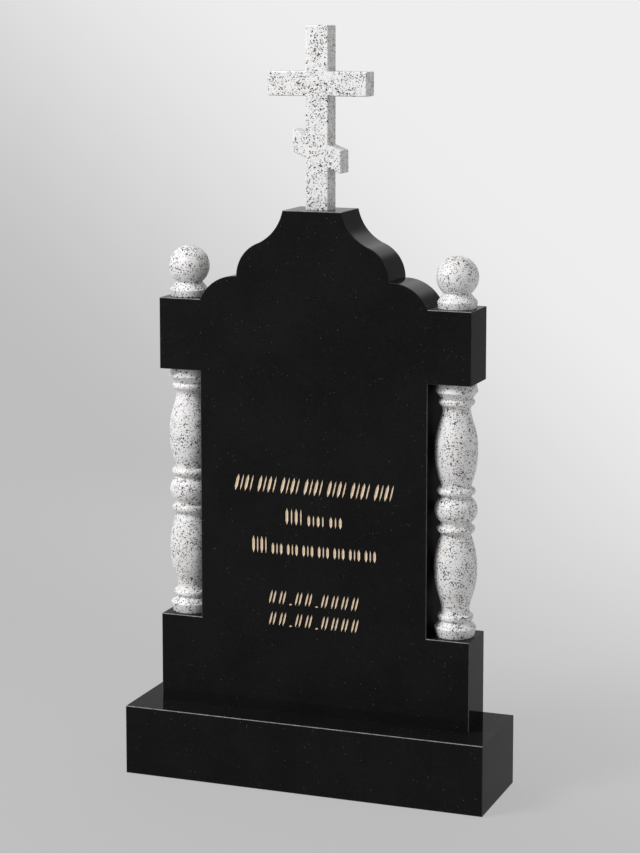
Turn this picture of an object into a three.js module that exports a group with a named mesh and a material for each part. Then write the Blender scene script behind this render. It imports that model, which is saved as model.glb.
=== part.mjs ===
// Granite grave memorial: an onion-crowned slab on a plinth, with a turned baluster in a niche at each
// side, a ball finial on each shoulder and a cross with a slanted foot bar on the crown's platform.
// Millimetres, +Z up, front towards -Y, origin at the middle of the plinth's underside.

import * as THREE from "three";
import { mergeVertices } from "three/addons/utils/BufferGeometryUtils.js";

// Plinth, which shows this much of its top around the slab

const PLINTH_HEIGHT = 130;
const PLINTH_SIDE_MARGIN = 46.5;
const PLINTH_FRONT_MARGIN = 66;
const PLINTH_BACK_MARGIN = 42;

// Slab

const SLAB_WIDTH = 607;
const SLAB_THICKNESS = 92;
const STEP_HEIGHT = 167; // plinth top to niche floor
const NICHE_HEIGHT = 468.5;
const SHOULDER_HEIGHT = 134; // niche ceiling to shoulder top

// Crown, measured from the shoulder top and from the slab's centre line

const NOTCH_HALF_WIDTH = 149;
const NOTCH_RISE = 46;
const LOWER_LOBE_RADIUS = 77;
const WAIST_HALF_WIDTH = 105.3;
const WAIST_RISE = 108.5;
const UPPER_LOBE_RADIUS = 66.5;
const PLATFORM_HALF_WIDTH = 57.5;
const PLATFORM_RISE = 170;
const COVE_RADIUS = 86;

// Balusters, mirrored about mid height: from the middle each half has half a bead, a collar, a ring, a
// collar and a belly that tapers to a neck, and from there a ring and a slope down to a flared foot

const BALUSTER_DIAMETER = 78.4;
const BALUSTER_CLEARANCE = 1.8; // between the belly and the niche wall
const BEAD_ARC_RADIUS = 28.5; // of the bead's profile
const COLLAR_RADIUS = 28;
const COLLAR_HEIGHT = 5;
const INNER_RING_RADIUS = 35.2;
const INNER_RING_HALF_HEIGHT = 7.2;
const BELLY_FROM_MIDDLE = 106; // to the widest place
const TAPER_LATENESS = 1.5; // above 1, the belly stays full and narrows late
const NECK_RADIUS = 25.4;
const NECK_COLLAR_HEIGHT = 6;
const OUTER_RING_RADIUS = 33;
const OUTER_RING_HALF_HEIGHT = 6;
const SLOPE_HEIGHT = 13;
const LIP_RADIUS = 38.6;
const FOOT_HEIGHT = 17;
const FOOT_RADIUS = 34.8;

// Ball finials

const FINIAL_BALL_RADIUS = 38.4;
const FINIAL_NECK_RADIUS = 24.5;
const FINIAL_MARGIN = 4.5; // foot's lip to the shoulder's edge
const FINIAL_FOOT_HEIGHT = 12.5;
const FINIAL_FOOT_FLARE = 1.5;
const FINIAL_SLOPE_HEIGHT = 14.4;

// Cross

const CROSS_THICKNESS = 42;
const POST_WIDTH = 44;
const FOOT_BAR_RISE = 107; // platform to the slanted bar's centre
const FOOT_BAR_LENGTH = 94;
const FOOT_BAR_HEIGHT = 42;
const FOOT_BAR_DROP = 39; // from the high end to the low end
const FOOT_BAR_TO_CROSSBAR = 99.5; // slanted bar's centre to the level bar's underside
const CROSSBAR_LENGTH = 192;
const CROSSBAR_HEIGHT = 45;
const HEAD_HEIGHT = 83; // of the post above the level bar

// Edges and faceting

const STONE_ARRIS = 2;
const CROSS_ROUNDING = 3;
const ROUNDING_STEPS = 2;
const OUTLINE_STEPS = 10; // straight pieces in each arc of the crown
const BELLY_STEPS = 7; // in each half of a baluster's belly
const RING_STEPS = 4; // in each half-round ring
const BALL_STEPS = 15;
const TURNED_SIDES = 24;

// Derived places

const slabHalfWidth = SLAB_WIDTH / 2;
const plinthWidth = SLAB_WIDTH + 2 * PLINTH_SIDE_MARGIN;
const plinthDepth = PLINTH_FRONT_MARGIN + SLAB_THICKNESS + PLINTH_BACK_MARGIN;
const slabMiddleY = (PLINTH_FRONT_MARGIN - PLINTH_BACK_MARGIN) / 2;
const nicheWidth = BALUSTER_DIAMETER + 2 * BALUSTER_CLEARANCE;
const nicheWall = slabHalfWidth - nicheWidth;
const sideAxis = slabHalfWidth - nicheWidth / 2;
const nicheFloor = PLINTH_HEIGHT + STEP_HEIGHT;
const nicheCeiling = nicheFloor + NICHE_HEIGHT;
const shoulderTop = nicheCeiling + SHOULDER_HEIGHT;
const platformTop = shoulderTop + PLATFORM_RISE;

// Materials

const stone = (color, roughness) => new THREE.MeshStandardMaterial({ color, roughness, metalness: 0 });
const blackGranite = () => stone(0x17181a, 0.12);
const whiteGranite = () => stone(0xdcdad6, 0.4);

const point = (x, y) => new THREE.Vector2(x, y);
const mirrored = (points) => points.map((p) => point(-p.x, p.y)).reverse();

// Points of a circular arc after its start: a positive radius bows to the left of the way from
// start to end, a negative one to the right.
function arcPoints(start, end, radius) {
  const chord = new THREE.Vector2().subVectors(end, start);
  const middle = start.clone().addScaledVector(chord, 0.5);
  const toCentre = Math.sqrt(radius ** 2 - chord.lengthSq() / 4) * Math.sign(radius);
  const rightwards = point(chord.y, -chord.x).normalize();
  const centre = middle.addScaledVector(rightwards, toCentre);
  const from = Math.atan2(start.y - centre.y, start.x - centre.x);
  const turn = -2 * Math.asin(chord.length() / (2 * radius));
  const reach = Math.abs(radius);
  const points = [];
  for (let i = 1; i <= OUTLINE_STEPS; i++) {
    const angle = from + (turn * i) / OUTLINE_STEPS;
    points.push(point(centre.x + reach * Math.cos(angle), centre.y + reach * Math.sin(angle)));
  }
  return points;
}

// A prism of an outline drawn in X and Z, centred on y = 0, with its front and back edges eased.
function facePrism(outline, thickness, easing, easingSteps) {
  const geometry = new THREE.ExtrudeGeometry(new THREE.Shape(outline), {
    depth: thickness - 2 * easing,
    bevelThickness: easing,
    bevelSize: easing,
    bevelOffset: -easing,
    bevelSegments: easingSteps,
  });
  geometry.translate(0, 0, easing - thickness / 2);
  return geometry.rotateX(Math.PI / 2);
}

// A turned solid about Z from a profile of (radius, height) points, from the axis to the axis.
function turned(profile) {
  return new THREE.LatheGeometry(profile, TURNED_SIDES).rotateX(Math.PI / 2);
}

function closed(geometry) {
  geometry.deleteAttribute("normal");
  geometry.deleteAttribute("uv");
  const merged = mergeVertices(geometry, 1e-4);
  merged.computeVertexNormals();
  return merged;
}

function piece(name, geometry, material, x, y, z) {
  const mesh = new THREE.Mesh(closed(geometry), material);
  mesh.name = name;
  mesh.position.set(x, y, z);
  return mesh;
}

// Plinth: a block with every edge eased.
function plinthGeometry() {
  const x = plinthWidth / 2;
  const y = plinthDepth / 2;
  const cut = STONE_ARRIS;
  const rightHalf = [point(x - cut, -y), point(x, cut - y), point(x, y - cut), point(x - cut, y)];
  const plan = [...rightHalf, ...mirrored(rightHalf)];
  const geometry = new THREE.ExtrudeGeometry(new THREE.Shape(plan), {
    depth: PLINTH_HEIGHT - 2 * cut,
    bevelThickness: cut,
    bevelSize: cut,
    bevelOffset: -cut,
    bevelSegments: 1,
  });
  return geometry.translate(0, 0, cut);
}

// Slab: the right half of the outline climbs from the foot through the niche and the crown.
function slabGeometry() {
  const crownFoot = point(nicheWall, shoulderTop);
  const notch = point(NOTCH_HALF_WIDTH, shoulderTop + NOTCH_RISE);
  const waist = point(WAIST_HALF_WIDTH, shoulderTop + WAIST_RISE);
  const platformEdge = point(PLATFORM_HALF_WIDTH, platformTop);
  const rightHalf = [
    point(slabHalfWidth, PLINTH_HEIGHT),
    point(slabHalfWidth, nicheFloor),
    point(nicheWall, nicheFloor),
    point(nicheWall, nicheCeiling),
    point(slabHalfWidth, nicheCeiling),
    point(slabHalfWidth, shoulderTop),
    crownFoot,
    ...arcPoints(crownFoot, notch, -LOWER_LOBE_RADIUS),
    ...arcPoints(notch, waist, -UPPER_LOBE_RADIUS),
    ...arcPoints(waist, platformEdge, COVE_RADIUS),
  ];
  return facePrism([...rightHalf, ...mirrored(rightHalf)], SLAB_THICKNESS, STONE_ARRIS, 1)
    .translate(0, 0, -PLINTH_HEIGHT);
}

// A half-round ring in a profile, listed upwards.
function ringPoints(collar, tip, height, halfHeight) {
  const points = [];
  for (let i = 0; i <= RING_STEPS; i++) {
    const angle = (Math.PI * i) / RING_STEPS;
    const radius = collar + (tip - collar) * Math.sin(angle);
    points.push(point(radius, height - halfHeight * Math.cos(angle)));
  }
  return points;
}

// The upper half of the baluster's profile, from mid height to the top.
function balusterHalfProfile() {
  const end = NICHE_HEIGHT / 2;
  const bellyRadius = BALUSTER_DIAMETER / 2;
  const arcCentre = bellyRadius - BEAD_ARC_RADIUS;
  const arcTurn = Math.acos((COLLAR_RADIUS - arcCentre) / BEAD_ARC_RADIUS);
  const profile = [];
  for (let i = 0; i <= RING_STEPS; i++) {
    const angle = (arcTurn * i) / RING_STEPS;
    const radius = arcCentre + BEAD_ARC_RADIUS * Math.cos(angle);
    profile.push(point(radius, BEAD_ARC_RADIUS * Math.sin(angle)));
  }

  const beadEnd = BEAD_ARC_RADIUS * Math.sin(arcTurn);
  const innerRing = beadEnd + COLLAR_HEIGHT + INNER_RING_HALF_HEIGHT;
  profile.push(...ringPoints(COLLAR_RADIUS, INNER_RING_RADIUS, innerRing, INNER_RING_HALF_HEIGHT));

  const bellyStart = innerRing + INNER_RING_HALF_HEIGHT + COLLAR_HEIGHT;
  for (let i = 0; i <= BELLY_STEPS; i++) {
    const share = i / BELLY_STEPS;
    const radius = bellyRadius - (bellyRadius - COLLAR_RADIUS) * (1 - share) ** 2;
    profile.push(point(radius, bellyStart + (BELLY_FROM_MIDDLE - bellyStart) * share));
  }

  const outerRing = end - FOOT_HEIGHT - SLOPE_HEIGHT - OUTER_RING_HALF_HEIGHT;
  const neck = outerRing - OUTER_RING_HALF_HEIGHT - NECK_COLLAR_HEIGHT;
  for (let i = 1; i <= BELLY_STEPS; i++) {
    const share = i / BELLY_STEPS;
    const narrowing = THREE.MathUtils.smoothstep(share ** TAPER_LATENESS, 0, 1);
    const radius = bellyRadius - (bellyRadius - NECK_RADIUS) * narrowing;
    profile.push(point(radius, BELLY_FROM_MIDDLE + (neck - BELLY_FROM_MIDDLE) * share));
  }

  profile.push(...ringPoints(COLLAR_RADIUS, OUTER_RING_RADIUS, outerRing, OUTER_RING_HALF_HEIGHT));
  profile.push(point(LIP_RADIUS, end - FOOT_HEIGHT), point(FOOT_RADIUS, end));
  return profile;
}

function balusterGeometry() {
  const upper = balusterHalfProfile();
  const lower = upper.slice(1).map((p) => point(p.x, -p.y)).reverse();
  const end = NICHE_HEIGHT / 2;
  const profile = [point(0, -end), ...lower, ...upper, point(0, end)];
  return turned(profile).translate(0, 0, end);
}

function finialGeometry() {
  const lipRadius = nicheWidth / 2 - FINIAL_MARGIN;
  const neckAngle = Math.asin(FINIAL_NECK_RADIUS / FINIAL_BALL_RADIUS);
  const neckHeight = FINIAL_FOOT_HEIGHT + FINIAL_SLOPE_HEIGHT;
  const ballCentre = neckHeight + FINIAL_BALL_RADIUS * Math.cos(neckAngle);
  const profile = [
    point(0, 0),
    point(lipRadius - FINIAL_FOOT_FLARE, 0),
    point(lipRadius, FINIAL_FOOT_HEIGHT),
  ];
  for (let i = 0; i < BALL_STEPS; i++) {
    const angle = neckAngle + ((Math.PI - neckAngle) * i) / BALL_STEPS;
    const height = ballCentre - FINIAL_BALL_RADIUS * Math.cos(angle);
    profile.push(point(FINIAL_BALL_RADIUS * Math.sin(angle), height));
  }
  profile.push(point(0, ballCentre + FINIAL_BALL_RADIUS));
  return turned(profile);
}

// Cross: one outline of the post, the level bar and the slanted bar, whose left end is the high one.
function crossGeometry() {
  const post = POST_WIDTH / 2;
  const barEnd = CROSSBAR_LENGTH / 2;
  const barUnderside = FOOT_BAR_RISE + FOOT_BAR_TO_CROSSBAR;
  const barTop = barUnderside + CROSSBAR_HEIGHT;
  const footEnd = FOOT_BAR_LENGTH / 2;
  const footTop = (x) => FOOT_BAR_RISE + FOOT_BAR_HEIGHT / 2 - (FOOT_BAR_DROP * x) / FOOT_BAR_LENGTH;
  const footUnderside = (x) => footTop(x) - FOOT_BAR_HEIGHT;
  const side = (sign) => [
    [sign * post, 0],
    [sign * post, footUnderside(sign * post)],
    [sign * footEnd, footUnderside(sign * footEnd)],
    [sign * footEnd, footTop(sign * footEnd)],
    [sign * post, footTop(sign * post)],
    [sign * post, barUnderside],
    [sign * barEnd, barUnderside],
    [sign * barEnd, barTop],
    [sign * post, barTop],
    [sign * post, barTop + HEAD_HEIGHT],
  ];
  const outline = [...side(1), ...side(-1).reverse()].map(([x, z]) => point(x, z));
  return facePrism(outline, CROSS_THICKNESS, CROSS_ROUNDING, ROUNDING_STEPS);
}

const memorial = new THREE.Group();
memorial.add(piece("plinth", plinthGeometry(), blackGranite(), 0, 0, 0));
memorial.add(piece("slab", slabGeometry(), blackGranite(), 0, slabMiddleY, PLINTH_HEIGHT));
memorial.add(piece("cross", crossGeometry(), whiteGranite(), 0, slabMiddleY, platformTop));
for (const [side, sign] of [["left", -1], ["right", 1]]) {
  const x = sign * sideAxis;
  memorial.add(piece(`baluster_${side}`, balusterGeometry(), whiteGranite(), x, slabMiddleY, nicheFloor));
  memorial.add(piece(`ball_finial_${side}`, finialGeometry(), whiteGranite(), x, slabMiddleY, shoulderTop));
}

export default memorial;
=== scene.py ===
"""Cross headstone: a black granite slab with an onion crown on a plinth, white granite balusters
in its niches, ball finials on its shoulders and a white granite cross on top.

Metres, +Z up, front towards -Y."""

import math

import bmesh
import bpy
from mathutils import Matrix, Vector


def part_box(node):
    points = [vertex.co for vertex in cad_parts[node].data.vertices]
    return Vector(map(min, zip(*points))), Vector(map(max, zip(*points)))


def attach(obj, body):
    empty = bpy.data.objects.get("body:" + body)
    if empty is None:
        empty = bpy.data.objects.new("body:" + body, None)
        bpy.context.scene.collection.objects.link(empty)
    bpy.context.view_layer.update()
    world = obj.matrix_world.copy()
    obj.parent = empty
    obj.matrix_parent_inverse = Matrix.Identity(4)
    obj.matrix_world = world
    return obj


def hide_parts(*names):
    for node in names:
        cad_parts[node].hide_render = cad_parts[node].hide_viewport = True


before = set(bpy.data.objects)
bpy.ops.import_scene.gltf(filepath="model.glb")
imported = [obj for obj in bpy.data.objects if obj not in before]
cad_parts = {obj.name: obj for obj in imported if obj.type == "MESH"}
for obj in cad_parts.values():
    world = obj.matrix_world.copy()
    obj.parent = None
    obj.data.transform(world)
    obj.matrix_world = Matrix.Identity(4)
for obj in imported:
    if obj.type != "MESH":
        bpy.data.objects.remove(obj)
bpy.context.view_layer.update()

bl_info = {
    "name": "Cross headstone",
    "version": (1, 0, 0),
    "blender": (4, 5, 0),
    "location": "3D View > Sidebar > Headstone",
    "description": "Builds a cross headstone in black and white granite, piece by piece",
    "category": "Object",
}

PLINTH_LOW, PLINTH_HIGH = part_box("plinth")
SLAB_LOW, SLAB_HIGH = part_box("slab")
CROSS_LOW, CROSS_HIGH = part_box("cross")
BALUSTER_LOW, BALUSTER_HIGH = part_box("baluster_right")
SHOULDER_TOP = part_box("ball_finial_right")[0].z

SIDES = {"left": -1, "right": 1}

# Distances below which points are one, and below which a point lies on a plane
WELD = 1e-5
ON_PLANE = 1e-4

# Edges that turn by more than this are eased, and shading breaks at the sharper ones that are left
EASED_ANGLE = math.radians(25.0)
SHARP_ANGLE = math.radians(33.0)
GILDING_SHARP_ANGLE = math.radians(12.0)

# A face looks along an axis when its normal's share there is more than this
LOOKS_ALONG = 0.2

# How pale the eased edges are painted, partly wear and partly painted highlight where light
# falls: on the upper edges of a front, up the niches and steps, elsewhere, and round the crown
FRONT_WEAR_AND_HIGHLIGHT, NICHE_WEAR, OTHER_WEAR, CROWN_WEAR = 1.0, 0.3, 0.12, 0.08

# Steps in the turned profiles
RING_STEPS = 12
BEAD_STEPS = 16
BELLY_STEPS = 24
BALL_STEPS = 48

# The stroke cutters start in front of the face, and the gilding ends behind it
CUTTER_LIFT = 0.0002
GILDING_SINK = 0.00004

# A stroke starts as a hexagon of radius 1, and its ridge ends this far from its middle
HEXAGON_WIDTH = math.sqrt(3.0)
RIDGE_END = 0.5

# Room between two groups of strokes, as a share of the step between strokes
GROUP_GAP = 0.7

# Rows of cut strokes on the slab's face, from the top: the height of a row's middle, its length,
# its tallest and its widest stroke, its slant, and in groups the height and width of each stroke
# as shares of those
TALL_GROUP = ((1.0, 1.0), (1.0, 0.5), (1.0, 1.0), (1.0, 0.5))
LOW_GROUP = ((0.68, 1.0), (0.68, 0.5), (0.68, 1.0), (0.68, 0.5))
LOW_TRIO = ((0.68, 1.0), (0.68, 0.5), (0.68, 1.0))
NARROW_PAIR = ((1.0, 1.0), (1.0, 1.0))
POINT = ((0.12, 1.5),)
DATE = (NARROW_PAIR, NARROW_PAIR, POINT) * 2 + (NARROW_PAIR,) * 4
STROKE_ROWS = (
    (0.561, 0.316, 0.032, 0.0054, 0.24, (TALL_GROUP,) * 7),
    (0.503, 0.110, 0.032, 0.0052, 0.0, (TALL_GROUP, LOW_GROUP, LOW_TRIO)),
    (0.446, 0.243, 0.033, 0.0049, 0.0, (TALL_GROUP,) + (LOW_TRIO,) * 7),
    (0.349, 0.179, 0.027, 0.0033, 0.24, DATE),
    (0.308, 0.179, 0.027, 0.0033, 0.24, DATE),
)

# Parts of the room: the way to the middle of each, and the cosines between which it fades in
BRIGHTENING = ((0.5834, 0.3175, 0.7475), -0.1115, 0.0891)
UPPER_WALL = ((0.0, 0.0, 1.0), 0.0, 0.09)
BACKDROP = ((-0.3483, 0.9293, -0.1229), 0.80, 0.96)
SOFTBOX = ((-0.03, 0.94, 0.35), 0.962, 0.998)
FLAG = ((0.33, 0.94, 0.03), 0.92, 0.975)

# The floor: the way in which its own light grows, and from where to where, the distances between
# which it fades into the room, and how far it lies under the plinth
FLOOR_BACKWARDS = (0.6, 0.8, 0.0)
FLOOR_GLOW_FROM, FLOOR_GLOW_TO = -0.1, 2.6
FLOOR_FADES_FROM, FLOOR_FADES_TO = 0.9, 3.2
FLOOR_DROP = 0.0004

KEY_AIM = Vector((0.0, 0.0, 0.7))
SENSOR_WIDTH = 36.0


# Settings


def length(name, default, description):
    return bpy.props.FloatProperty(
        name=name, description=description, default=default, min=0.0, unit="LENGTH", precision=4
    )


def angle(name, default, description):
    return bpy.props.FloatProperty(
        name=name, description=description, default=math.radians(default), unit="ROTATION"
    )


def share(name, default, description):
    return bpy.props.FloatProperty(
        name=name, description=description, default=default, min=0.0, max=1.0, subtype="FACTOR"
    )


def amount(name, default, description):
    return bpy.props.FloatProperty(name=name, description=description, default=default)


def count(name, default, description):
    return bpy.props.IntProperty(name=name, description=description, default=default, min=3)


def colour(name, default, description):
    return bpy.props.FloatVectorProperty(
        name=name, description=description, default=default, size=3, min=0.0, max=1.0,
        subtype="COLOR",
    )


def grey(name, default, description):
    return colour(name, (default,) * 3, description)


def place(name, default, description):
    return bpy.props.FloatVectorProperty(
        name=name, description=description, default=default, size=3, subtype="TRANSLATION"
    )


class PlinthSettings(bpy.types.PropertyGroup):
    width: length("Width", PLINTH_HIGH.x - PLINTH_LOW.x, "Plinth across the front")
    depth: length("Depth", PLINTH_HIGH.y - PLINTH_LOW.y, "Plinth from front to back")
    height: length("Height", PLINTH_HIGH.z, "Plinth from the ground to its top")
    arris: length("Arris", 0.0011, "Radius of the plinth's eased edges")


class SlabSettings(bpy.types.PropertyGroup):
    half_width: length("Half width", SLAB_HIGH.x, "Centre line to the step's end")
    front: amount("Front", SLAB_LOW.y, "Where the slab's face stands")
    thickness: length("Thickness", SLAB_HIGH.y - SLAB_LOW.y, "Slab from front to back")
    foot: length("Foot", SLAB_LOW.z, "Underside of the slab above the ground")
    niche_floor: length("Niche floor", BALUSTER_LOW.z, "Step that the balusters stand on")
    niche_ceiling: length("Niche ceiling", BALUSTER_HIGH.z, "Underside of the shoulders")
    niche_wall: length("Niche wall", 0.2215, "Centre line to the niche's inner wall")
    shoulder_top: length("Shoulder top", SHOULDER_TOP, "Top of the shoulders above the ground")
    notch_half_width: length("Notch half width", 0.149, "Centre line to a notch between lobes")
    notch_rise: length("Notch rise", 0.046, "Notch above the shoulder top")
    lower_lobe: length("Lower lobe", 0.077, "Radius of the crown's lower lobe")
    waist_half_width: length("Waist half width", 0.1053, "Centre line to the upper lobe's end")
    waist_rise: length("Waist rise", 0.1085, "Upper lobe's end above the shoulder top")
    upper_lobe: length("Upper lobe", 0.0665, "Radius of the crown's upper lobe")
    platform_half_width: length("Platform half width", 0.0575, "Centre line to the platform's end")
    platform_top: length("Platform top", SLAB_HIGH.z, "Platform of the cross above the ground")
    cove: length("Cove", 0.086, "Radius of the hollow under the platform")
    arc_steps: count("Arc steps", 36, "Straight pieces in each arc of the crown")
    arris: length("Arris", 0.0011, "Radius of the slab's eased edges")


class StrokeSettings(bpy.types.PropertyGroup):
    middle: amount("Middle", 0.003, "Middle of the rows, to the right of the centre line")
    boldness: amount("Boldness", 1.0, "Above 1, every stroke is wider")
    steepness: share("Steepness", 0.36, "Depth of a cut as a share of its width")
    skin: share("Gilding", 0.2, "Thickness of the gilding as a share of the cut's depth")


class BalusterSettings(bpy.types.PropertyGroup):
    axis: length("Axis", (BALUSTER_LOW.x + BALUSTER_HIGH.x) / 2, "Centre line to a turned axis")
    belly_radius: length("Belly radius", 0.0392, "Widest radius, also of the bead")
    bead_arc: length("Bead arc", 0.0285, "Radius of the middle bead's profile")
    collar_radius: length("Collar radius", 0.028, "Radius of the collars beside the rings")
    collar_height: length("Collar height", 0.005, "Height of a collar")
    inner_ring_radius: length("Inner ring radius", 0.0352, "Radius of the rings next to the bead")
    inner_ring_half: length("Inner ring half height", 0.0072, "Half the height of an inner ring")
    belly_from_middle: length("Belly from middle", 0.106, "Middle to the widest place of a belly")
    taper_lateness: amount("Taper lateness", 1.5, "Above 1, a belly stays full and narrows late")
    neck_radius: length("Neck radius", 0.0254, "Radius where a belly ends")
    neck_collar: length("Neck collar", 0.006, "Height between the neck and its ring")
    outer_ring_radius: length("Outer ring radius", 0.033, "Radius of the rings at the necks")
    outer_ring_half: length("Outer ring half height", 0.006, "Half the height of an outer ring")
    slope_height: length("Slope height", 0.013, "Height of the slope to the foot's lip")
    lip_radius: length("Lip radius", 0.0386, "Radius of the foot's lip")
    foot_height: length("Foot height", 0.017, "Height of the foot")
    foot_radius: length("Foot radius", 0.0348, "Radius where the foot meets the slab")
    easing: length("Easing", 0.0006, "How far the turned edges are rounded")
    sides: count("Sides", 96, "Steps round a turned piece")


class FinialSettings(bpy.types.PropertyGroup):
    ball_radius: length("Ball radius", 0.0384, "Radius of the ball")
    neck_radius: length("Neck radius", 0.0245, "Radius where the ball meets its foot")
    foot_lip_radius: length("Foot lip radius", 0.0365, "Widest radius of the foot")
    foot_flare: length("Foot flare", 0.0015, "How much the foot widens upwards")
    foot_height: length("Foot height", 0.0125, "Height of the foot's rim")
    slope_height: length("Slope height", 0.0144, "Height of the slope up to the neck")
    easing: length("Easing", 0.0008, "How far the foot's edges are rounded")
    sides: count("Sides", 96, "Steps round a turned piece")


class CrossSettings(bpy.types.PropertyGroup):
    thickness: length("Thickness", CROSS_HIGH.y - CROSS_LOW.y, "Cross from front to back")
    post_width: length("Post width", 0.044, "Width of the post")
    foot_bar_rise: length("Foot bar rise", 0.107, "Platform to the middle of the slanted bar")
    foot_bar_length: length("Foot bar length", 0.094, "Slanted bar across the front")
    foot_bar_height: length("Foot bar height", 0.042, "Upright height of the slanted bar")
    foot_bar_drop: length("Foot bar drop", 0.039, "From the slanted bar's high end to its low end")
    bar_gap: length("Bar gap", 0.0995, "Slanted bar's middle to the level bar's underside")
    bar_height: length("Bar height", 0.045, "Height of the level bar")
    easing: length("Easing", 0.003, "Radius of the rounded edges")


class StoneSettings(bpy.types.PropertyGroup):
    black: grey("Black stone", 0.0086, "Ground of the black granite")
    fleck: grey("Fleck", 0.03, "Pale flecks of the black granite")
    glint: grey("Glint", 0.1, "Few brighter flecks of the black granite")
    # Colour of the eased edges: partly real wear, partly a painted highlight that is strongest on
    # the upper front edges
    arris: colour("Arris", (0.32, 0.32, 0.322), "Worn eased edges of the black granite")
    white: colour("White stone", (0.80, 0.79, 0.79), "White ground of the speckled granite")
    cream: colour("Cream", (0.79, 0.745, 0.69), "Warm crystals of the speckled granite")
    cool: colour("Cool grey", (0.56, 0.555, 0.565), "Cool crystals of the speckled granite")
    speck: colour("Speck", (0.03, 0.028, 0.029), "Mica specks of the speckled granite")
    smoke: colour("Smoke", (0.34, 0.33, 0.33), "Soft patches of the speckled granite")
    gold: colour("Gold", (0.84, 0.67, 0.49), "Gilding in the cut strokes")
    patina: colour("Patina", (0.66, 0.45, 0.25), "Darker patches of the gilding")


class StageSettings(bpy.types.PropertyGroup):
    floor_radius: length("Floor radius", 8.0, "Radius of the floor")
    room: grey("Room", 0.52, "Sides of the room")
    upper: grey("Upper wall", 0.66, "Room above eye level behind the headstone")
    ground: grey("Ground", 0.515, "Dim corner of the room behind the headstone")
    sky: grey("Sky", 0.855, "Bright corner of the room behind the headstone")
    flag: grey("Flag", 0.36, "Dim panel behind on the right, mirrored in the polished sides")
    softbox: amount("Softbox", 0.8, "Soft light above and behind the headstone")
    floor_albedo: share("Floor albedo", 0.10, "Share of the light that the floor throws back")
    floor_glow: grey("Floor glow", 0.415, "Floor's own light, which keeps shadows faint")
    floor_shine: grey("Floor shine", 0.72, "Floor's own light far back and to the right")
    key_place: place("Key light", (-2.4, -2.7, 3.8), "Where the key light hangs")
    key_size: length("Key size", 1.6, "Side of the key light")
    key_power: amount("Key power", 186.0, "Watts of the key light")
    camera_place: place("Camera", (1.4992, -3.9913, 1.45), "Where the camera stands")
    camera_turn: angle("Turn", 20.547, "How far the camera is turned to its left")
    camera_tilt: angle("Tilt", 7.057, "How far the camera looks down")
    camera_lens: amount("Lens", 99.12, "Focal length in millimetres on a 36 mm frame")
    camera_shift: amount("Shift", -0.16, "Upright shift of the lens")


# Materials


class Wire:
    """A socket of a material being made. Arithmetic on it adds Math nodes."""

    def __init__(self, bench, socket):
        self.bench = bench
        self.socket = socket

    def math(self, operation, first, second):
        return self.bench.add("ShaderNodeMath", {"operation": operation}, {0: first, 1: second})

    def __add__(self, other):
        return self.math("ADD", self, other)

    __radd__ = __add__

    def __sub__(self, other):
        return self.math("SUBTRACT", self, other)

    def __rsub__(self, other):
        return self.math("SUBTRACT", other, self)

    def __mul__(self, other):
        return self.math("MULTIPLY", self, other)

    __rmul__ = __mul__

    def __gt__(self, other):
        return self.math("GREATER_THAN", self, other)

    def __lt__(self, other):
        return self.math("LESS_THAN", self, other)

    def __or__(self, other):
        return self.math("MAXIMUM", self, other)


class Bench:
    """Where a material's or the world's nodes are put together."""

    def __init__(self, owner):
        owner.use_nodes = True
        self.tree = owner.node_tree
        self.tree.nodes.clear()

    def add(self, kind, settings=None, inputs=None, output=0):
        """Adds a node: its settings first, then the values or wires of its sockets."""
        node = self.tree.nodes.new(kind)
        for name, value in (settings or {}).items():
            setattr(node, name, value)
        for name, value in (inputs or {}).items():
            socket = node.inputs[name]
            if isinstance(value, Wire):
                self.tree.links.new(value.socket, socket)
            else:
                socket.default_value = value
        return Wire(self, node.outputs[output]) if node.outputs else None

    def coordinates(self, source="Object"):
        return self.add("ShaderNodeTexCoord", output=source)

    def noise(self, vector, scale, detail=2.0, output="Fac"):
        inputs = {"Vector": vector, "Scale": scale, "Detail": detail}
        return self.add("ShaderNodeTexNoise", None, inputs, output)

    def cells(self, vector, scale, output="Distance"):
        return self.add("ShaderNodeTexVoronoi", None, {"Vector": vector, "Scale": scale}, output)

    def cell_chance(self, vector, scale):
        """A number from 0 to 1 for each crystal."""
        return self.add("ShaderNodeSeparateColor", None, {0: self.cells(vector, scale, "Color")})

    def grains(self, vector, scale, reach, above):
        """The cores of those crystals whose number is above this."""
        core = self.cells(vector, scale) < reach
        return core * (self.cell_chance(vector, scale) > above)

    def painted(self, name):
        """How much of a mark the faces carry."""
        return self.add("ShaderNodeAttribute", {"attribute_name": name}, None, "Fac")

    def ramp(self, value, low, high, to_low=0.0, to_high=1.0):
        """Smooth steps from low to high."""
        inputs = {"Value": value, 1: low, 2: high, 3: to_low, 4: to_high}
        return self.add("ShaderNodeMapRange", {"interpolation_type": "SMOOTHSTEP"}, inputs)

    def mix(self, share_of_second, first, second):
        """A colour between two."""
        inputs = {0: share_of_second, 6: first, 7: second}
        return self.add("ShaderNodeMix", {"data_type": "RGBA"}, inputs, 2)

    def vector(self, operation, first, second, output=0):
        inputs = {0: first, 1: second}
        return self.add("ShaderNodeVectorMath", {"operation": operation}, inputs, output)

    def scaled(self, colour_wire, by):
        """A colour made brighter or darker."""
        inputs = {0: colour_wire, "Scale": by}
        return self.add("ShaderNodeVectorMath", {"operation": "SCALE"}, inputs)

    def wavered(self, vector, scale, reach):
        """Coordinates pushed about, so that crystals lose their straight edges."""
        push = self.vector("SUBTRACT", self.noise(vector, scale, 2.0, "Color"), (0.5, 0.5, 0.5))
        return self.vector("ADD", vector, self.scaled(push, reach))

    def bump(self, height, strength, distance):
        inputs = {"Height": height, "Strength": strength, "Distance": distance}
        return self.add("ShaderNodeBump", None, inputs)

    def surface(self, inputs):
        shader = self.add("ShaderNodeBsdfPrincipled", None, inputs)
        self.add("ShaderNodeOutputMaterial", None, {"Surface": shader})


def full(rgb):
    """An opaque colour."""
    return (*rgb, 1.0)


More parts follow.
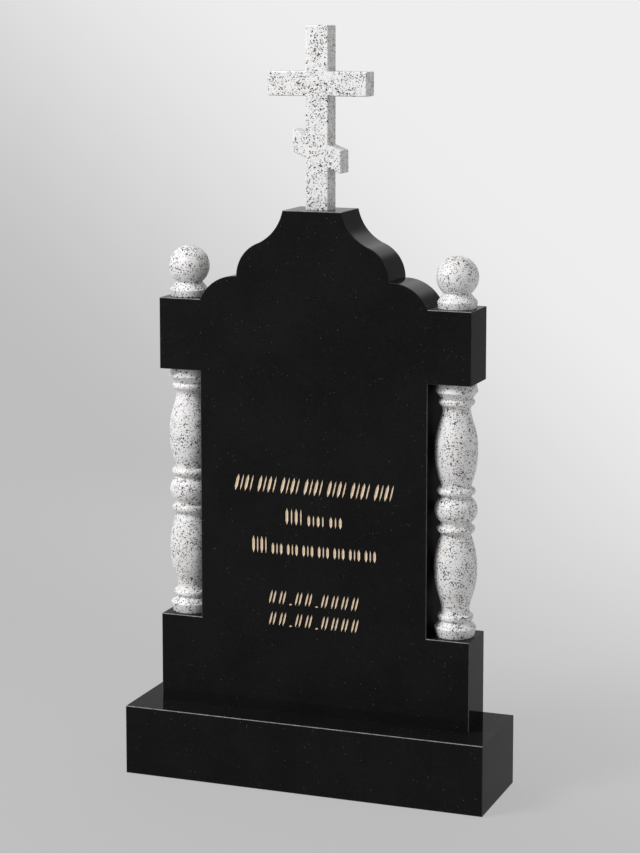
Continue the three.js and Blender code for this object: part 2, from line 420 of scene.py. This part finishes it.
def black_granite():
    """Polished gabbro: near-black crystals, pale flecks, arrises paler with wear and painted
    highlight.
    """
    material = bpy.data.materials.get("black_granite_polished")
    if material:
        return material
    look = bpy.context.scene.headstone_stone
    material = bpy.data.materials.new("black_granite_polished")
    bench = Bench(material)
    where = bench.coordinates()
    loose = bench.wavered(where, 400.0, 0.0012)
    crystal = bench.cell_chance(loose, 520.0)
    coarse = bench.cell_chance(loose, 210.0)
    cloud = bench.ramp(bench.noise(where, 9.0, 4.0), 0.35, 0.65)
    honed_and_shaded = bench.painted("honed_and_shaded")
    level = 0.68 + crystal * 0.22 + coarse * 0.16 + cloud * 0.2
    # In the niches the ground is painted nearly black: painted shade of the recess, on top of the
    # rougher honed finish
    ground = bench.scaled(look.black, level * (1 - honed_and_shaded * 0.9))
    crowd = bench.ramp(bench.noise(where, 28.0, 3.0), 0.45, 0.65)
    fleck = bench.grains(loose, 330.0, 0.3, 0.994 - crowd * 0.04)
    glint = bench.grains(loose, 480.0, 0.35, 0.998 - crowd * 0.01)
    stone = bench.mix(fleck * 0.7, ground, full(look.fleck))
    stone = bench.mix(glint * 0.8, stone, full(look.glint))
    arris = bench.painted("arris")
    # Eased edges are painted paler: partly wear, partly a painted highlight, most on the upper
    # front edges
    worn_and_lit = arris * bench.ramp(bench.noise(where, 60.0, 3.0), 0.25, 0.7, 0.5, 1.0)
    smear = bench.noise(where, 11.0, 4.0)
    bench.surface({
        "Base Color": bench.mix(worn_and_lit, stone, full(look.arris)),
        "Roughness": 0.05 + smear * 0.05 + crystal * 0.02 + (arris * 0.3 | honed_and_shaded * 0.5),
        "IOR": 1.1,
        "Normal": bench.bump(crystal, 0.02, 0.0002),
    })
    return material


def white_granite():
    """Fine-rubbed white granite: cream and cool crystals, clustered mica, soft grey patches."""
    material = bpy.data.materials.get("white_granite_speckled")
    if material:
        return material
    look = bpy.context.scene.headstone_stone
    material = bpy.data.materials.new("white_granite_speckled")
    bench = Bench(material)
    where = bench.coordinates()
    loose = bench.wavered(where, 700.0, 0.0011)
    crowd = bench.ramp(bench.noise(where, 42.0, 3.0), 0.38, 0.62)
    feldspar = bench.cell_chance(loose, 300.0)
    warm = bench.ramp(bench.noise(where, 70.0, 3.0), 0.54, 0.7)
    ground = bench.mix(warm * 0.6, full(look.white), full(look.cream))
    ground = bench.mix(bench.ramp(feldspar, 0.6, 0.95) * 0.45, ground, full(look.cool))
    patch = bench.ramp(bench.noise(loose, 240.0, 3.0), 0.54, 0.68) * crowd
    ground = bench.mix(patch * 0.5, ground, full(look.smoke))
    flake = bench.cell_chance(loose, 600.0) > 0.94 - crowd * 0.12
    blot = bench.cell_chance(loose, 370.0) > 0.985 - crowd * 0.045
    mica = flake | blot
    bench.surface({
        "Base Color": bench.mix(mica * 0.95, ground, full(look.speck)),
        "Roughness": 0.36 - mica * 0.14 + bench.noise(where, 90.0) * 0.08,
        "Normal": bench.bump(feldspar - mica * 0.5, 0.08, 0.0004),
    })
    return material


def gilding():
    """Gold laid in the cut strokes, slightly uneven."""
    look = bpy.context.scene.headstone_stone
    material = bpy.data.materials.new("gilding_laid")
    bench = Bench(material)
    where = bench.coordinates()
    uneven = bench.noise(where, 420.0, 3.0)
    patina = bench.ramp(bench.noise(where, 45.0, 3.0), 0.5, 0.75)
    gold = bench.scaled(look.gold, 0.88 + uneven * 0.24)
    bench.surface({
        "Base Color": bench.mix(patina * 0.25, gold, full(look.patina)),
        "Metallic": 0.25,
        "Roughness": 0.42 + uneven * 0.16,
        "Normal": bench.bump(uneven, 0.25, 0.0003),
    })
    return material


def floor_paint():
    """Pale floor that fades into the room away from the headstone."""
    look = bpy.context.scene.headstone_stage
    material = bpy.data.materials.new("floor_paint")
    bench = Bench(material)
    where = bench.coordinates()
    albedo = full((look.floor_albedo,) * 3)
    shade = bench.add("ShaderNodeBsdfDiffuse", None, {"Color": albedo})
    backwards = bench.vector("DOT_PRODUCT", where, FLOOR_BACKWARDS, "Value")
    shining = bench.ramp(backwards, FLOOR_GLOW_FROM, FLOOR_GLOW_TO)
    own = bench.mix(shining, full(look.floor_glow), full(look.floor_shine))
    glow = bench.add("ShaderNodeEmission", None, {"Color": own})
    lit = bench.add("ShaderNodeAddShader", None, {0: shade, 1: glow})
    distance = bench.vector("LENGTH", where, (0, 0, 0), "Value")
    gone = bench.ramp(distance, FLOOR_FADES_FROM, FLOOR_FADES_TO)
    clear = bench.add("ShaderNodeBsdfTransparent")
    mixed = bench.add("ShaderNodeMixShader", None, {0: gone, 1: lit, 2: clear})
    bench.add("ShaderNodeOutputMaterial", None, {"Surface": mixed})
    return material


# Shaping


def finished(bm, name, material, sharp=SHARP_ANGLE):
    """Makes a bmesh an object at the origin, with one material and its sharp edges marked."""
    bmesh.ops.recalc_face_normals(bm, faces=bm.faces)
    mesh = bpy.data.meshes.new(name)
    bm.to_mesh(mesh)
    bm.free()
    mesh.shade_smooth()
    mesh.set_sharp_from_angle(angle=sharp)
    mesh.materials.append(material)
    piece = bpy.data.objects.new(name, mesh)
    bpy.context.scene.collection.objects.link(piece)
    return piece


def evened(piece):
    """Keeps the large faces flat-looking beside their eased edges."""
    weighted = piece.modifiers.new("Even faces", "WEIGHTED_NORMAL")
    weighted.keep_sharp = True
    return piece


def blank():
    """An empty bmesh whose faces can be marked as arrises, painted paler for wear and highlight.
    """
    bm = bmesh.new()
    bm.faces.layers.float.new("arris")
    return bm


def moved(bm, x, y, z):
    """Moves the whole of a bmesh."""
    bmesh.ops.translate(bm, vec=(x, y, z), verts=bm.verts)


def eased(bm, edges, radius, segments=3, wear_and_highlight=lambda face: 1.0):
    """Rounds edges over and marks how pale the new faces are painted, for wear and painted
    highlight.
    """
    rounding = bmesh.ops.bevel(
        bm, geom=edges, offset=radius, offset_type="OFFSET", segments=segments, profile=0.5,
        affect="EDGES", clamp_overlap=True, material=-1,
    )
    arris = bm.faces.layers.float["arris"]
    for face in rounding["faces"]:
        face[arris] = wear_and_highlight(face)


def front_wear_and_highlight(face):
    """The upper edges of a front are painted brightest: a painted highlight where light falls,
    over some wear.
    """
    upper = face.normal.y < -LOOKS_ALONG and face.normal.z > LOOKS_ALONG
    return FRONT_WEAR_AND_HIGHLIGHT if upper else OTHER_WEAR


def slab_wear_and_highlight(face, size):
    """Faces round the crown stay polished. Upright edges of niches and steps are painted a little
    paler, as wear and painted highlight.
    """
    if max(edge.calc_length() for edge in face.edges) < size.thickness / 2:
        return CROWN_WEAR
    upright = face.normal.y < -LOOKS_ALONG and abs(face.normal.z) < LOOKS_ALONG
    if upright and face.calc_center_median().z < size.niche_ceiling:
        return NICHE_WEAR
    return front_wear_and_highlight(face)


def creased(bm, above=-math.inf):
    """Convex edges to ease. Those that lie no higher than this stay sharp."""
    return [
        e for e in bm.edges
        if e.is_convex and e.calc_face_angle(0.0) > EASED_ANGLE
        and max(v.co.z for v in e.verts) > above
    ]


class Outline:
    """A line of edges drawn in X and Z."""

    def __init__(self, bm, x, z):
        self.bm = bm
        self.tip = bm.verts.new((x, 0.0, z))

    def line(self, x, z):
        tip = self.bm.verts.new((x, 0.0, z))
        self.bm.edges.new((self.tip, tip))
        self.tip = tip

    def arc(self, x, z, radius, steps):
        """Spins the tip to x, z. A positive radius bows to the left of the way there."""
        start = self.tip.co.copy()
        chord = Vector((x, 0.0, z)) - start
        rightwards = Vector((chord.z, 0.0, -chord.x)).normalized()
        to_centre = math.sqrt(radius**2 - chord.length_squared / 4)
        centre = start + chord / 2 + rightwards * math.copysign(to_centre, radius)
        turn = 2 * math.asin(chord.length / (2 * radius))
        spun = bmesh.ops.spin(
            self.bm, geom=[self.tip], cent=centre, axis=(0, 1, 0), angle=turn, steps=steps
        )
        self.tip = spun["geom_last"][0]


def raised(bm, faces):
    """Extrudes faces in place and gives the new points, for moving away."""
    drawn = bmesh.ops.extrude_face_region(bm, geom=faces)
    return [v for v in drawn["geom"] if isinstance(v, bmesh.types.BMVert)]


def thickened(bm, thickness):
    """Pushes the drawn face back into a block."""
    bmesh.ops.translate(bm, vec=(0, thickness, 0), verts=raised(bm, bm.faces[:]))
    bmesh.ops.recalc_face_normals(bm, faces=bm.faces)


def turned(profile, sides):
    """Spins a profile of (radius, height) points about the upright axis."""
    bm = blank()
    points = [bm.verts.new((radius, 0.0, height)) for radius, height in profile]
    edges = [bm.edges.new(pair) for pair in zip(points, points[1:])]
    bmesh.ops.spin(
        bm, geom=points + edges, cent=(0, 0, 0), axis=(0, 0, 1), angle=math.tau, steps=sides,
        use_merge=True,
    )
    bmesh.ops.remove_doubles(bm, verts=bm.verts, dist=WELD)
    bmesh.ops.recalc_face_normals(bm, faces=bm.faces)
    return bm


# Pieces


class HEADSTONE_OT_plinth(bpy.types.Operator):
    """Block that the slab stands on, with eased edges"""

    bl_idname = "headstone.plinth"
    bl_label = "Plinth"

    def execute(self, context):
        size = context.scene.headstone_plinth
        bm = blank()
        bmesh.ops.create_cube(bm, size=1.0)
        bmesh.ops.scale(bm, vec=(size.width, size.depth, size.height), verts=bm.verts)
        moved(bm, 0.0, 0.0, size.height / 2)
        eased(bm, bm.edges[:], size.arris, wear_and_highlight=front_wear_and_highlight)
        block = evened(finished(bm, "plinth_block", black_granite()))
        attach(block, "root")
        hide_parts("plinth")
        return {"FINISHED"}


def crown_outline(bm, size):
    """Right half of the slab's outline, from the foot up to the platform."""
    outline = Outline(bm, 0.0, size.foot)
    outline.line(size.half_width, size.foot)
    outline.line(size.half_width, size.niche_floor)
    outline.line(size.niche_wall, size.niche_floor)
    outline.line(size.niche_wall, size.niche_ceiling)
    outline.line(size.half_width, size.niche_ceiling)
    outline.line(size.half_width, size.shoulder_top)
    outline.line(size.niche_wall, size.shoulder_top)
    notch = (size.notch_half_width, size.shoulder_top + size.notch_rise)
    waist = (size.waist_half_width, size.shoulder_top + size.waist_rise)
    outline.arc(*notch, -size.lower_lobe, size.arc_steps)
    outline.arc(*waist, -size.upper_lobe, size.arc_steps)
    outline.arc(size.platform_half_width, size.platform_top, size.cove, size.arc_steps)
    outline.line(0.0, size.platform_top)


def honed_shaded_niches(bm, size):
    """Marks the inner walls of the niches, which a polishing head doesn't reach and which are
    painted darker as shade in the recess.
    """
    honed_and_shaded = bm.faces.layers.float.new("honed_and_shaded")
    for face in bm.faces:
        middle = face.calc_center_median()
        across = abs(abs(middle.x) - size.niche_wall) < ON_PLANE
        face[honed_and_shaded] = float(across and size.niche_floor < middle.z < size.niche_ceiling)


def stroke_places(size):
    """Where each cut stroke stands, and its shape: x, foot, width, height and slant."""
    for middle, row_length, tallest, widest, slant, groups in STROKE_ROWS:
        steps = sum(len(group) - 1 for group in groups) + (1 + GROUP_GAP) * (len(groups) - 1)
        step = (row_length - slant * tallest - widest) / steps
        x = size.middle - step * steps / 2
        for group in groups:
            for tall, wide in group:
                width = widest * wide * size.boldness
                yield x, middle - tallest / 2, width, tallest * tall, slant
                x += step
            x += GROUP_GAP * step


def ridge(bm, face, at):
    """Draws a stroke's rim out to a ridge at this depth."""
    points = raised(bm, [face])
    halves = {
        sign * RIDGE_END: [v for v in points if v.co.y * sign > 0] for sign in (1, -1)
    }
    for end, half in halves.items():
        bmesh.ops.pointmerge(bm, verts=half, merge_co=(0, end, -at))


def stroke(bm, front, form, depth, lift, hollow=0.0):
    """A boat-shaped stroke, whose rim stands lift in front of the face. With hollow, a channel."""
    x, foot, width, height, slant = form
    rim = bmesh.ops.create_circle(bm, cap_ends=True, segments=6, radius=1.0)["verts"]
    lid = rim[0].link_faces[0]
    tips = [v for v in rim if abs(v.co.x) < ON_PLANE]

    # The rim grows with the lift, so that the walls meet the face at the stroke's own width
    grow = (depth + lift) / depth
    bmesh.ops.scale(bm, vec=(grow, 1.0, 1.0), verts=rim)
    bmesh.ops.scale(bm, vec=(1.0, (1 + grow) / 2, 1.0), verts=tips)
    ridge(bm, lid, depth + lift)
    if hollow:
        lid = next(f for f in bm.faces if set(f.verts) == set(rim))
        ridge(bm, lid, depth + lift - hollow)
        bmesh.ops.delete(bm, geom=[lid], context="FACES_ONLY")

    points = list({edge.other_vert(v) for v in rim for edge in v.link_edges})
    bmesh.ops.scale(bm, vec=(width / HEXAGON_WIDTH, height / 2, 1.0), verts=points)
    lean = Matrix(((1, slant, 0, 0), (0, 1, 0, 0), (0, 0, 1, 0), (0, 0, 0, 1)))
    stand = Matrix.Rotation(math.pi / 2, 4, "X")
    middle = Matrix.Translation((x, front - lift, foot + height / 2))
    bmesh.ops.transform(bm, matrix=middle @ stand @ lean, verts=points)


def carved(piece, tool):
    """Cuts a tool's shape out of a piece."""
    cut = piece.modifiers.new("Cut strokes", "BOOLEAN")
    cut.operation, cut.solver, cut.object = "DIFFERENCE", "EXACT", tool
    graph = bpy.context.evaluated_depsgraph_get()
    result = bpy.data.meshes.new_from_object(piece.evaluated_get(graph))
    piece.modifiers.clear()
    uncut = piece.data
    piece.data = result
    bpy.data.meshes.remove(uncut)
    result.name = piece.name
    bpy.data.objects.remove(tool)


class HEADSTONE_OT_slab(bpy.types.Operator):
    """Slab with a niche at each side, shoulders, an onion crown and the cut strokes"""

    bl_idname = "headstone.slab"
    bl_label = "Slab"

    def execute(self, context):
        size = context.scene.headstone_slab
        cut = context.scene.headstone_strokes
        bm = blank()
        crown_outline(bm, size)
        bmesh.ops.mirror(bm, geom=bm.verts[:] + bm.edges[:], axis="X", merge_dist=WELD)
        bmesh.ops.remove_doubles(bm, verts=bm.verts, dist=WELD)
        bmesh.ops.contextual_create(bm, geom=bm.edges[:])
        moved(bm, 0.0, size.front, 0.0)
        thickened(bm, size.thickness)
        honed_shaded_niches(bm, size)
        seen = creased(bm, size.foot + ON_PLANE)
        eased(bm, seen, size.arris, wear_and_highlight=lambda face: slab_wear_and_highlight(face, size))
        slab = finished(bm, "slab_carved", black_granite())
        tools = bmesh.new()
        for form in stroke_places(cut):
            stroke(tools, size.front, form, form[2] * cut.steepness, CUTTER_LIFT)
        carved(slab, finished(tools, "stroke_cutters", black_granite()))
        slab.data.set_sharp_from_angle(angle=SHARP_ANGLE)
        evened(slab)
        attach(slab, "root")
        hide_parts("slab")
        return {"FINISHED"}


class HEADSTONE_OT_gilding(bpy.types.Operator):
    """Gilding laid in the cut strokes of the slab's face"""

    bl_idname = "headstone.gilding"
    bl_label = "Gilded strokes"

    def execute(self, context):
        cut = context.scene.headstone_strokes
        front = context.scene.headstone_slab.front
        bm = bmesh.new()
        for form in stroke_places(cut):
            depth = form[2] * cut.steepness
            stroke(bm, front, form, depth, -GILDING_SINK, depth * cut.skin)
        gilded = finished(bm, "gilded_strokes", gilding(), GILDING_SHARP_ANGLE)
        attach(gilded, "root")
        return {"FINISHED"}


def ring(collar, tip, height, half_height):
    """Half-round ring of a profile, upwards."""
    turns = [math.pi * i / RING_STEPS for i in range(RING_STEPS + 1)]
    return [
        (collar + (tip - collar) * math.sin(t), height - half_height * math.cos(t))
        for t in turns
    ]


def baluster_profile(size, end):
    """Upper half of a baluster, from mid height to the middle of its top."""
    belly, collar = size.belly_radius, size.collar_radius
    arc_centre = belly - size.bead_arc
    arc_turn = math.acos((collar - arc_centre) / size.bead_arc)
    turns = [arc_turn * i / BEAD_STEPS for i in range(BEAD_STEPS + 1)]
    profile = [
        (arc_centre + size.bead_arc * math.cos(t), size.bead_arc * math.sin(t)) for t in turns
    ]

    half = size.inner_ring_half
    inner = profile[-1][1] + size.collar_height + half
    profile += ring(collar, size.inner_ring_radius, inner, half)

    start = inner + half + size.collar_height
    widest = size.belly_from_middle
    for i in range(BELLY_STEPS + 1):
        part = i / BELLY_STEPS
        radius = belly - (belly - collar) * (1 - part) ** 2
        profile.append((radius, start + (widest - start) * part))

    outer = end - size.foot_height - size.slope_height - size.outer_ring_half
    neck = outer - size.outer_ring_half - size.neck_collar
    for i in range(1, BELLY_STEPS + 1):
        part = (i / BELLY_STEPS) ** size.taper_lateness
        radius = belly - (belly - size.neck_radius) * part**2 * (3 - 2 * part)
        profile.append((radius, widest + (neck - widest) * i / BELLY_STEPS))

    profile += ring(collar, size.outer_ring_radius, outer, size.outer_ring_half)
    profile += [(size.lip_radius, end - size.foot_height), (size.foot_radius, end), (0.0, end)]
    return profile


class HEADSTONE_OT_balusters(bpy.types.Operator):
    """A turned white granite baluster in each niche"""

    bl_idname = "headstone.balusters"
    bl_label = "Balusters"

    def execute(self, context):
        size = context.scene.headstone_baluster
        slab = context.scene.headstone_slab
        half = (slab.niche_ceiling - slab.niche_floor) / 2
        for side, sign in SIDES.items():
            bm = turned(baluster_profile(size, half), size.sides)
            upper = bm.verts[:] + bm.edges[:] + bm.faces[:]
            bmesh.ops.mirror(bm, geom=upper, axis="Z", merge_dist=WELD)
            bmesh.ops.recalc_face_normals(bm, faces=bm.faces)
            eased(bm, creased(bm), size.easing, segments=2)
            moved(bm, sign * size.axis, slab.front + slab.thickness / 2, slab.niche_floor + half)
            baluster = evened(finished(bm, "turned_baluster_" + side, white_granite()))
            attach(baluster, "root")
            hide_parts("baluster_" + side)
        return {"FINISHED"}


def finial_profile(size):
    """A finial from the middle of its underside to the top of its ball."""
    neck_turn = math.asin(size.neck_radius / size.ball_radius)
    neck = size.foot_height + size.slope_height
    centre = neck + size.ball_radius * math.cos(neck_turn)
    profile = [(0.0, 0.0), (size.foot_lip_radius - size.foot_flare, 0.0)]
    profile.append((size.foot_lip_radius, size.foot_height))
    for i in range(BALL_STEPS + 1):
        turn = neck_turn + (math.pi - neck_turn) * i / BALL_STEPS
        height = centre - size.ball_radius * math.cos(turn)
        profile.append((size.ball_radius * math.sin(turn), height))
    return profile


class HEADSTONE_OT_finials(bpy.types.Operator):
    """A white granite ball on a flared foot on each shoulder"""

    bl_idname = "headstone.finials"
    bl_label = "Ball finials"

    def execute(self, context):
        size = context.scene.headstone_finial
        slab = context.scene.headstone_slab
        axis = context.scene.headstone_baluster.axis
        for side, sign in SIDES.items():
            bm = turned(finial_profile(size), size.sides)
            eased(bm, creased(bm), size.easing)
            moved(bm, sign * axis, slab.front + slab.thickness / 2, slab.shoulder_top)
            finial = evened(finished(bm, "ball_and_foot_" + side, white_granite()))
            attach(finial, "root")
            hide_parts("ball_finial_" + side)
        return {"FINISHED"}


def cross_outline(bm, size):
    """Post, level bar and slanted bar, whose left end is the high one."""
    post, bar_end, foot_end = size.post_width / 2, CROSS_HIGH.x, size.foot_bar_length / 2
    underside = size.foot_bar_rise + size.bar_gap
    bar_top = underside + size.bar_height

    def foot_top(x):
        middle = size.foot_bar_rise + size.foot_bar_height / 2
        return middle - size.foot_bar_drop * x / size.foot_bar_length

    def side(sign):
        inner, outer = sign * post, sign * foot_end
        return [
            (inner, 0.0),
            (inner, foot_top(inner) - size.foot_bar_height),
            (outer, foot_top(outer) - size.foot_bar_height),
            (outer, foot_top(outer)),
            (inner, foot_top(inner)),
            (inner, underside),
            (sign * bar_end, underside),
            (sign * bar_end, bar_top),
            (inner, bar_top),
            (inner, CROSS_HIGH.z - CROSS_LOW.z),
        ]

    right, left = side(1), side(-1)
    outline = Outline(bm, *right[0])
    for x, z in right[1:] + left[::-1]:
        outline.line(x, z)
    bm.verts.ensure_lookup_table()
    bm.edges.new((outline.tip, bm.verts[0]))


class HEADSTONE_OT_cross(bpy.types.Operator):
    """White granite cross with a slanted foot bar"""

    bl_idname = "headstone.cross"
    bl_label = "Cross"

    def execute(self, context):
        size = context.scene.headstone_cross
        slab = context.scene.headstone_slab
        bm = blank()
        cross_outline(bm, size)
        bmesh.ops.contextual_create(bm, geom=bm.edges[:])
        thickened(bm, size.thickness)
        eased(bm, creased(bm, ON_PLANE), size.easing, segments=4)
        moved(bm, 0.0, slab.front + (slab.thickness - size.thickness) / 2, slab.platform_top)
        cross = evened(finished(bm, "cross_eased", white_granite()))
        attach(cross, "root")
        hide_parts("cross")
        return {"FINISHED"}


# Stage


def room(world, look):
    """Soft room light: a gradient behind the headstone, with a softbox above and a dim flag."""
    bench = Bench(world)
    gaze = bench.coordinates("Generated")

    def within(part, most=1.0):
        """How far a direction lies in a part of the room."""
        way, start, end = part
        cosine = bench.vector("DOT_PRODUCT", gaze, Vector(way).normalized(), "Value")
        return bench.ramp(cosine, start, end, 0.0, most)

    backdrop = bench.mix(within(BRIGHTENING), full(look.ground), full(look.sky))
    backdrop = bench.mix(within(UPPER_WALL), backdrop, full(look.upper))
    sides = bench.mix(within(BACKDROP), full(look.room), backdrop)
    softbox = bench.scaled((1.0, 1.0, 1.0), within(SOFTBOX, look.softbox))
    lit = bench.vector("ADD", sides, softbox)
    tone = bench.mix(within(FLAG), lit, full(look.flag))
    background = bench.add("ShaderNodeBackground", None, {"Color": tone, "Strength": 1.0})
    bench.add("ShaderNodeOutputWorld", None, {"Surface": background})


class HEADSTONE_OT_stage(bpy.types.Operator):
    """Pale floor, soft room light, key light and camera"""

    bl_idname = "headstone.stage"
    bl_label = "Stage"

    def execute(self, context):
        scene = context.scene
        look = scene.headstone_stage
        scene.view_settings.view_transform = "Standard"
        bm = bmesh.new()
        bmesh.ops.create_circle(bm, cap_ends=True, segments=64, radius=look.floor_radius)
        moved(bm, 0.0, 0.0, -FLOOR_DROP)
        finished(bm, "floor", floor_paint())

        scene.world = bpy.data.worlds.new("room")
        room(scene.world, look)

        key = bpy.data.lights.new("key_light", "AREA")
        key.shape, key.size, key.energy = "SQUARE", look.key_size, look.key_power
        lamp = bpy.data.objects.new("key_light", key)
        lamp.location = look.key_place
        beam = KEY_AIM - Vector(look.key_place)
        lamp.rotation_euler = beam.to_track_quat("-Z", "Y").to_euler()
        scene.collection.objects.link(lamp)

        lens = bpy.data.cameras.new("camera")
        lens.lens, lens.sensor_width = look.camera_lens, SENSOR_WIDTH
        lens.shift_y = look.camera_shift
        camera = bpy.data.objects.new("camera", lens)
        camera.location = look.camera_place
        camera.rotation_euler = (math.pi / 2 - look.camera_tilt, 0.0, look.camera_turn)
        scene.collection.objects.link(camera)
        scene.camera = camera
        return {"FINISHED"}


class HEADSTONE_PT_sidebar(bpy.types.Panel):
    """Headstone pieces in the 3D view's sidebar"""

    bl_label = "Headstone"
    bl_space_type = "VIEW_3D"
    bl_region_type = "UI"
    bl_category = "Headstone"

    def draw(self, context):
        for operator in OPERATORS:
            self.layout.operator(operator.bl_idname)
        for name in SETTINGS:
            settings = getattr(context.scene, name)
            box = self.layout.box()
            box.label(text=name.removeprefix("headstone_").capitalize())
            for prop in settings.bl_rna.properties:
                if prop.identifier not in {"rna_type", "name"}:
                    box.prop(settings, prop.identifier)


SETTINGS = {
    "headstone_plinth": PlinthSettings,
    "headstone_slab": SlabSettings,
    "headstone_strokes": StrokeSettings,
    "headstone_baluster": BalusterSettings,
    "headstone_finial": FinialSettings,
    "headstone_cross": CrossSettings,
    "headstone_stone": StoneSettings,
    "headstone_stage": StageSettings,
}
OPERATORS = (
    HEADSTONE_OT_plinth,
    HEADSTONE_OT_slab,
    HEADSTONE_OT_gilding,
    HEADSTONE_OT_balusters,
    HEADSTONE_OT_finials,
    HEADSTONE_OT_cross,
    HEADSTONE_OT_stage,
)


def register():
    for group in SETTINGS.values():
        bpy.utils.register_class(group)
    for name, group in SETTINGS.items():
        setattr(bpy.types.Scene, name, bpy.props.PointerProperty(type=group))
    for cls in (*OPERATORS, HEADSTONE_PT_sidebar):
        bpy.utils.register_class(cls)


def unregister():
    for cls in (HEADSTONE_PT_sidebar, *reversed(OPERATORS)):
        bpy.utils.unregister_class(cls)
    for name, group in SETTINGS.items():
        delattr(bpy.types.Scene, name)
        bpy.utils.unregister_class(group)


def main():
    register()
    bpy.ops.headstone.plinth()
    bpy.ops.headstone.slab()
    bpy.ops.headstone.gilding()
    bpy.ops.headstone.balusters()
    bpy.ops.headstone.finials()
    bpy.ops.headstone.cross()
    bpy.ops.headstone.stage()


if __name__ == "__main__":
    main()
